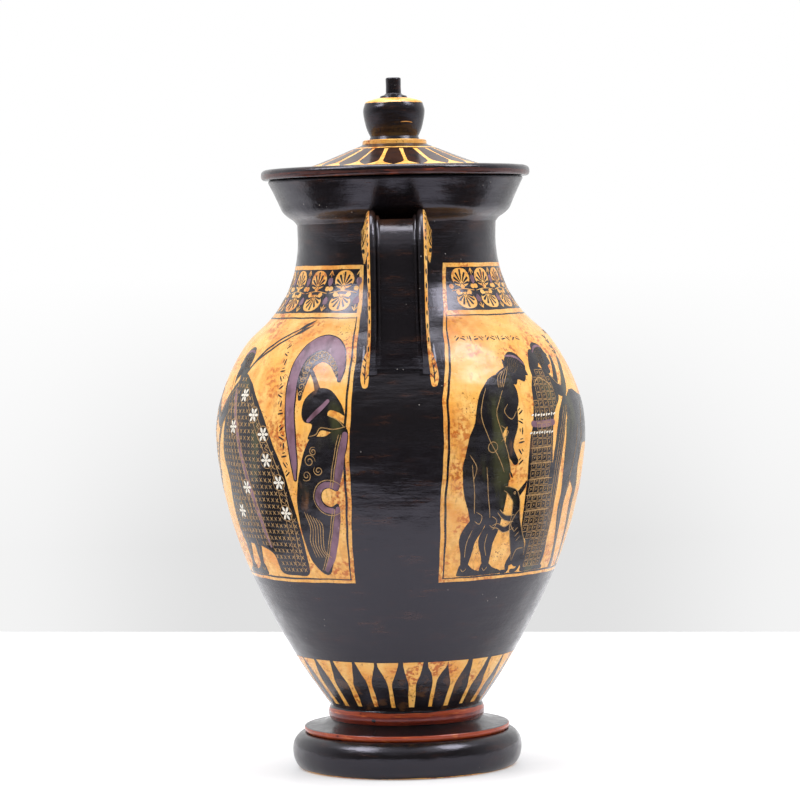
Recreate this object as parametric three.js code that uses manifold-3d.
// A lidded belly amphora: a wheel-thrown terracotta jar with two flanged strap handles,
// and a loose lid that rests on its mouth. Millimetres, +Z up. The origin is the centre of
// the underside of the foot, and the handles stand at +X and -X.

import * as THREE from 'three';
import { mergeVertices } from 'three/addons/utils/BufferGeometryUtils.js';
import Module from 'manifold-3d';

const wasm = await Module();
wasm.setup();

// ---- driving dimensions ------------------------------------------------------------------

const WALL = 6.5; // thickness of the thrown wall
const SEAT_GAP = 0.3; // clearance between the mouth and the lid that rests on it
const SEGMENTS = 48; // facets round every turned form
const SHARED_POINT = 1e-4; // corners closer than this are one corner

// How many straight steps each curve of an outline is drawn with.
const STEPS = { cushion: 3, bead: 2, body: 20, inside: 14, dish: 5, knob: 6, handle: 17 };

const FOOT = {
  recessHeight: 5, // shallow hollow under the foot
  recessRadius: 46,
  recessSlope: 1, // how much lower the hollow is at its edge
  standRadius: 53, // inner edge of the ring that it stands on
  soleRadius: 69, // outer edge of that ring
  torusRadius: 75.1, // widest point of the cushion
  torusMiddle: 12.5, // height of that point
  torusTop: 24,
  coveRadius: 65.6, // narrowest point between the cushion and the disc
  coveDrop: 1, // how far that point lies below the cushion's top
  discRadius: 67.2,
  discEdge: 2.2, // height of the disc's upright edge
  discTop: 27.3,
  discBevel: [1, 0.6], // across and down
};

const FILLET = {
  bottom: 31.8, // the red bead between the foot and the body
  seatRadius: 49.4,
  beadRadius: 51,
  beadFoot: 35.2, // the bead is full from here
  beadTop: 38, // to here
  beadTopRadius: 50.8,
};

// The body's outline, foot to neck, as the radius and height of each station.
const BODY_STATIONS = {
  footJoint: [49.6, 41],
  flare: [70, 71.7],
  lowerWall: [95.2, 118.8],
  wall: [112.4, 165.9],
  belly: [120.4, 213],
  shoulderTurn: [116.4, 244.4],
  shoulder: [101, 275.9],
  neckRoot: [81.9, 295.5],
  neckSweep: [70, 315.1],
  neckFoot: [64.9, 337],
  neckTop: [64.8, 355],
};

const MOUTH = {
  underside: [[67.2, 358], [70.7, 360.4], [74.2, 363.9], [76.6, 369.2]], // from the neck out to the flare
  flareRadius: 83.1, // top of that flare
  lipRadius: 83.4,
  lipHeight: 384.3,
  lipRound: 1.4,
  innerRadius: 76,
};

const INSIDE = {
  floorHeight: 46,
  floorRadius: 38,
  floorSlope: 1.5, // how much higher the floor is at that radius
  neckRadius: 58.3,
  neckTop: 358,
  mouth: [[61.6, 362.2], [67.4, 366.2], [71.6, 372.6]], // from the neck out to the lip
};

const LID = {
  rimRadius: 87.6,
  rimThickness: 6.6,
  rimRound: 1.4, // of its lower edge
  rimWidest: 2.3, // height of its widest point above the seat
  rimShoulder: 4.6, // height where it turns in
  rimShoulderInset: 0.3,
  rimCrown: 2.6, // inset of its highest point
  rimFall: [4, 0.2], // inset and drop where the dished top starts
  brimRadius: 80, // where the low lip meets the dished top
  brimDrop: 1.8, // depth of the dish below the lip
  coneRadius: 57,
  coneHeight: 392.4,
  collarRadius: 20.9,
  collarFoot: 21.9, // radius where the dished top meets the collar
  collarBottom: 405.9,
  collarTop: 409.3,
  collarBevel: [1, 1.6], // across and down
  wall: 7,
  flangeOuter: 71.5, // the ring below that keeps it centred in the mouth
  flangeInner: 65.5,
  flangeDepth: 8,
};

const KNOB = {
  waistRadius: 15.6,
  waistHeight: 411.6,
  flankRadius: 18.2,
  flankHeight: 417.6,
  bulgeRadius: 20.1,
  bulgeHeight: 427.5,
  shoulderRadius: 18.9,
  shoulderHeight: 433.2,
  crownRadius: 11.6,
  crownHeight: 436.4,
  stemRadius: 5,
  stemBase: 438.6,
  stemRound: 1,
  top: 450,
};

const HANDLE = {
  halfWidth: 18.6,
  rootSpread: 6, // extra half width where it is smoothed on to the wall
  rootSharpness: 6, // how fast that spread dies out away from the ends
  flangeWidth: 5.6,
  flangeHeight: 6, // how far each flange stands above the strap
  flangeFade: [0.06, 0.24], // where the flanges rise out of the lower root, along the handle
  edgeRound: 2.4,
};

// The handle's sections from its upper root to its lower one: the outer and the inner edge of
// each, as radius and height in the upright plane through the jar's axis.
const HANDLE_STATIONS = [
  { outer: [57, 350], inner: [57, 322] }, // inside the neck
  { outer: [75, 359.6], inner: [71.5, 334.5] },
  { outer: [91, 362], inner: [83, 341.6] }, // top of the bend
  { outer: [105.5, 353.5], inner: [94, 337] },
  { outer: [113, 336], inner: [99.4, 322] },
  { outer: [116, 307], inner: [101, 303] },
  { outer: [115, 278], inner: [99.4, 284] },
  { outer: [104, 246], inner: [90, 262] }, // inside the shoulder
];

const BLACK_GLOSS = new THREE.MeshStandardMaterial({ color: 0x1f1b1a, roughness: 0.2, metalness: 0 });
const ORANGE_CLAY = new THREE.MeshStandardMaterial({ color: 0xe0a95c, roughness: 0.3, metalness: 0 });

// ---- outlines ----------------------------------------------------------------------------

const point = (radius, height) => new THREE.Vector2(radius, height);

// Quarter of an ellipse between two points: it leaves `from` level and meets `to` upright,
// or the other way round when `uprightFirst` is set. Neither end is doubled.
function quarter(from, to, steps, uprightFirst = false) {
  const points = [];
  for (let i = 1; i <= steps; i += 1) {
    const angle = (i / steps) * (Math.PI / 2);
    const [across, up] = uprightFirst
      ? [1 - Math.cos(angle), Math.sin(angle)]
      : [Math.sin(angle), 1 - Math.cos(angle)];
    points.push(point(from.x + (to.x - from.x) * across, from.y + (to.y - from.y) * up));
  }
  return points;
}

// Points along a smooth curve through the given stations.
function smooth(stations, steps) {
  const curve = new THREE.SplineCurve(stations.map(([radius, height]) => point(radius, height)));
  return curve.getPoints(steps);
}

// The same curve moved inwards by the wall's thickness.
function smoothInside(stations, steps, thickness) {
  const curve = new THREE.SplineCurve(stations.map(([radius, height]) => point(radius, height)));
  return Array.from({ length: steps + 1 }, (_, i) => {
    const at = curve.getPoint(i / steps);
    const along = curve.getTangent(i / steps);
    return point(at.x - along.y * thickness, at.y + along.x * thickness);
  });
}

// ---- solids ------------------------------------------------------------------------------

// A closed three.js geometry as a manifold solid: shared corners joined, flat facets dropped.
function solidFrom(geometry) {
  geometry.deleteAttribute('normal');
  geometry.deleteAttribute('uv');
  const merged = mergeVertices(geometry, SHARED_POINT);
  const corners = merged.index.array;
  const kept = [];
  for (let i = 0; i < corners.length; i += 3) {
    const [a, b, c] = corners.slice(i, i + 3);
    if (a !== b && b !== c && c !== a) kept.push(a, b, c);
  }
  return new wasm.Manifold(new wasm.Mesh({
    numProp: 3,
    vertProperties: new Float32Array(merged.attributes.position.array),
    triVerts: new Uint32Array(kept),
  }));
}

// Back to a three.js geometry.
function geometryFrom(solid) {
  const mesh = solid.getMesh();
  const geometry = new THREE.BufferGeometry();
  geometry.setAttribute('position', new THREE.BufferAttribute(mesh.vertProperties, 3));
  geometry.setIndex(new THREE.BufferAttribute(mesh.triVerts, 1));
  geometry.computeVertexNormals();
  return geometry;
}

// An outline from axis to axis, turned about Z.
function turned(outline) {
  return solidFrom(new THREE.LatheGeometry(outline, SEGMENTS).rotateX(Math.PI / 2));
}

// ---- the jar -----------------------------------------------------------------------------

function footOutline() {
  const sole = point(FOOT.soleRadius, 0);
  const widest = point(FOOT.torusRadius, FOOT.torusMiddle);
  const cushionTop = point(FOOT.coveRadius, FOOT.torusTop);
  const [bevelAcross, bevelDown] = FOOT.discBevel;
  const filletSeat = point(FILLET.seatRadius, FILLET.bottom);
  return [
    point(0, FOOT.recessHeight),
    point(FOOT.recessRadius, FOOT.recessHeight - FOOT.recessSlope),
    point(FOOT.standRadius, 0),
    sole,
    ...quarter(sole, widest, STEPS.cushion),
    ...quarter(widest, cushionTop, STEPS.cushion, true).slice(0, -1),
    point(FOOT.coveRadius, FOOT.torusTop - FOOT.coveDrop),
    point(FOOT.discRadius, FOOT.discTop - FOOT.discEdge),
    point(FOOT.discRadius, FOOT.discTop - bevelDown),
    point(FOOT.discRadius - bevelAcross, FOOT.discTop),
    filletSeat,
    ...quarter(filletSeat, point(FILLET.beadRadius, FILLET.beadFoot), STEPS.bead),
    point(FILLET.beadTopRadius, FILLET.beadTop),
  ];
}

function mouthOutline() {
  return [
    ...MOUTH.underside.map(([radius, height]) => point(radius, height)),
    point(MOUTH.flareRadius, MOUTH.lipHeight - MOUTH.lipRound),
    point(MOUTH.lipRadius - MOUTH.lipRound, MOUTH.lipHeight),
    point(0, MOUTH.lipHeight),
  ];
}

function cavityOutline() {
  const stations = Object.values(BODY_STATIONS);
  const wallInside = smoothInside(stations.slice(0, -1), STEPS.inside, WALL)
    .filter(({ y }) => y > INSIDE.floorHeight + WALL);
  return [
    point(0, INSIDE.floorHeight),
    point(INSIDE.floorRadius, INSIDE.floorHeight + INSIDE.floorSlope),
    ...wallInside,
    point(INSIDE.neckRadius, INSIDE.neckTop),
    ...INSIDE.mouth.map(([radius, height]) => point(radius, height)),
    point(MOUTH.innerRadius, MOUTH.lipHeight),
    point(MOUTH.innerRadius, MOUTH.lipHeight + WALL),
    point(0, MOUTH.lipHeight + WALL),
  ];
}

// One cross-section of the handle, in (across, depth) from its inner face: a flat strap with
// a rounded flange along each edge. `groove` goes from 0, a plain strap, to 1.
function handleSection(depth, halfWidth, groove) {
  const { flangeWidth, flangeHeight, edgeRound } = HANDLE;
  const floor = depth - flangeHeight * groove;
  const halfRound = edgeRound / 2;
  const shoulderDrop = edgeRound / 3;
  const flangeFoot = halfWidth - flangeWidth;
  const half = [
    [halfWidth - edgeRound, 0],
    [halfWidth, edgeRound],
    [halfWidth, depth - edgeRound],
    [halfWidth - halfRound, depth - shoulderDrop],
    [halfWidth - flangeWidth / 2, depth],
    [flangeFoot + halfRound, depth - shoulderDrop * groove],
    [flangeFoot, (depth + floor) / 2],
    [flangeFoot - halfRound, floor],
  ];
  return [...half, ...half.map(([across, out]) => [-across, out]).reverse()];
}

// The handle's skin through all its cross-sections, closed at both ends inside the wall.
function handleGeometry() {
  const edge = (side) => new THREE.SplineCurve(HANDLE_STATIONS.map((at) => point(...at[side])));
  const [outer, inner] = [edge('outer'), edge('inner')];
  const rings = Array.from({ length: STEPS.handle + 1 }, (_, i) => {
    const t = i / STEPS.handle;
    const from = inner.getPoint(t);
    const out = outer.getPoint(t).sub(from);
    const rootness = Math.abs(2 * t - 1) ** HANDLE.rootSharpness;
    const groove = THREE.MathUtils.smoothstep(1 - t, ...HANDLE.flangeFade);
    const halfWidth = HANDLE.halfWidth + HANDLE.rootSpread * rootness;
    const section = handleSection(out.length(), halfWidth, groove);
    out.normalize();
    return { section, from, out };
  });
  const positions = rings.flatMap(({ section, from, out }) => section
    .flatMap(([across, depth]) => [from.x + out.x * depth, across, from.y + out.y * depth]));
  const count = rings[0].section.length;
  const end = STEPS.handle * count;
  const cap = rings[0].section.map(([across, depth]) => point(across, depth));
  const faces = THREE.ShapeUtils.triangulateShape(cap, [])
    .flatMap(([a, b, c]) => [a, c, b, end + a, end + b, end + c]);
  for (let i = 0; i < STEPS.handle; i += 1) {
    for (let j = 0; j < count; j += 1) {
      const [a, b] = [i * count + j, i * count + ((j + 1) % count)];
      faces.push(a, b, b + count, a, b + count, a + count);
    }
  }
  const geometry = new THREE.BufferGeometry();
  geometry.setAttribute('position', new THREE.Float32BufferAttribute(positions, 3));
  geometry.setIndex(faces);
  return geometry;
}

function makeAmphora() {
  const stations = Object.values(BODY_STATIONS);
  const outline = [...footOutline(), ...smooth(stations, STEPS.body), ...mouthOutline()];
  const handles = [0, Math.PI].map((turn) => solidFrom(handleGeometry().rotateZ(turn)));
  const jar = handles
    .reduce((body, handle) => body.add(handle), turned(outline))
    .subtract(turned(cavityOutline()));
  const mesh = new THREE.Mesh(geometryFrom(jar), BLACK_GLOSS);
  mesh.name = 'amphora';
  return mesh;
}

// ---- the lid -----------------------------------------------------------------------------

function lidOutline() {
  const seat = MOUTH.lipHeight + SEAT_GAP;
  const rimTop = seat + LID.rimThickness;
  const underside = LID.collarBottom - LID.wall;
  const [fallInset, fallDrop] = LID.rimFall;
  const [bevelAcross, bevelDown] = LID.collarBevel;
  const dish = [
    [LID.rimRadius - fallInset, rimTop - fallDrop],
    [LID.brimRadius, rimTop - LID.brimDrop],
    [LID.coneRadius, LID.coneHeight],
    [LID.collarFoot, LID.collarBottom],
  ];
  const knob = [
    [KNOB.waistRadius, KNOB.waistHeight],
    [KNOB.flankRadius, KNOB.flankHeight],
    [KNOB.bulgeRadius, KNOB.bulgeHeight],
    [KNOB.shoulderRadius, KNOB.shoulderHeight],
  ];
  return [
    point(0, underside),
    point(LID.collarRadius, underside),
    point(LID.flangeInner, seat),
    point(LID.flangeInner, seat - LID.flangeDepth),
    point(LID.flangeOuter, seat - LID.flangeDepth),
    point(LID.flangeOuter, seat),
    point(LID.rimRadius - LID.rimRound, seat),
    point(LID.rimRadius, seat + LID.rimWidest),
    point(LID.rimRadius - LID.rimShoulderInset, seat + LID.rimShoulder),
    point(LID.rimRadius - LID.rimCrown, rimTop),
    ...smooth(dish, STEPS.dish),
    point(LID.collarRadius, LID.collarTop - bevelDown),
    point(LID.collarRadius - bevelAcross, LID.collarTop),
    ...smooth(knob, STEPS.knob),
    point(KNOB.crownRadius, KNOB.crownHeight),
    point(KNOB.stemRadius, KNOB.stemBase),
    point(KNOB.stemRadius, KNOB.top - KNOB.stemRound),
    point(KNOB.stemRadius - KNOB.stemRound, KNOB.top),
    point(0, KNOB.top),
  ];
}

function makeLid() {
  const mesh = new THREE.Mesh(geometryFrom(turned(lidOutline())), ORANGE_CLAY);
  mesh.name = 'lid';
  return mesh;
}

const amphora = new THREE.Group();
amphora.add(makeAmphora(), makeLid());

export default amphora;
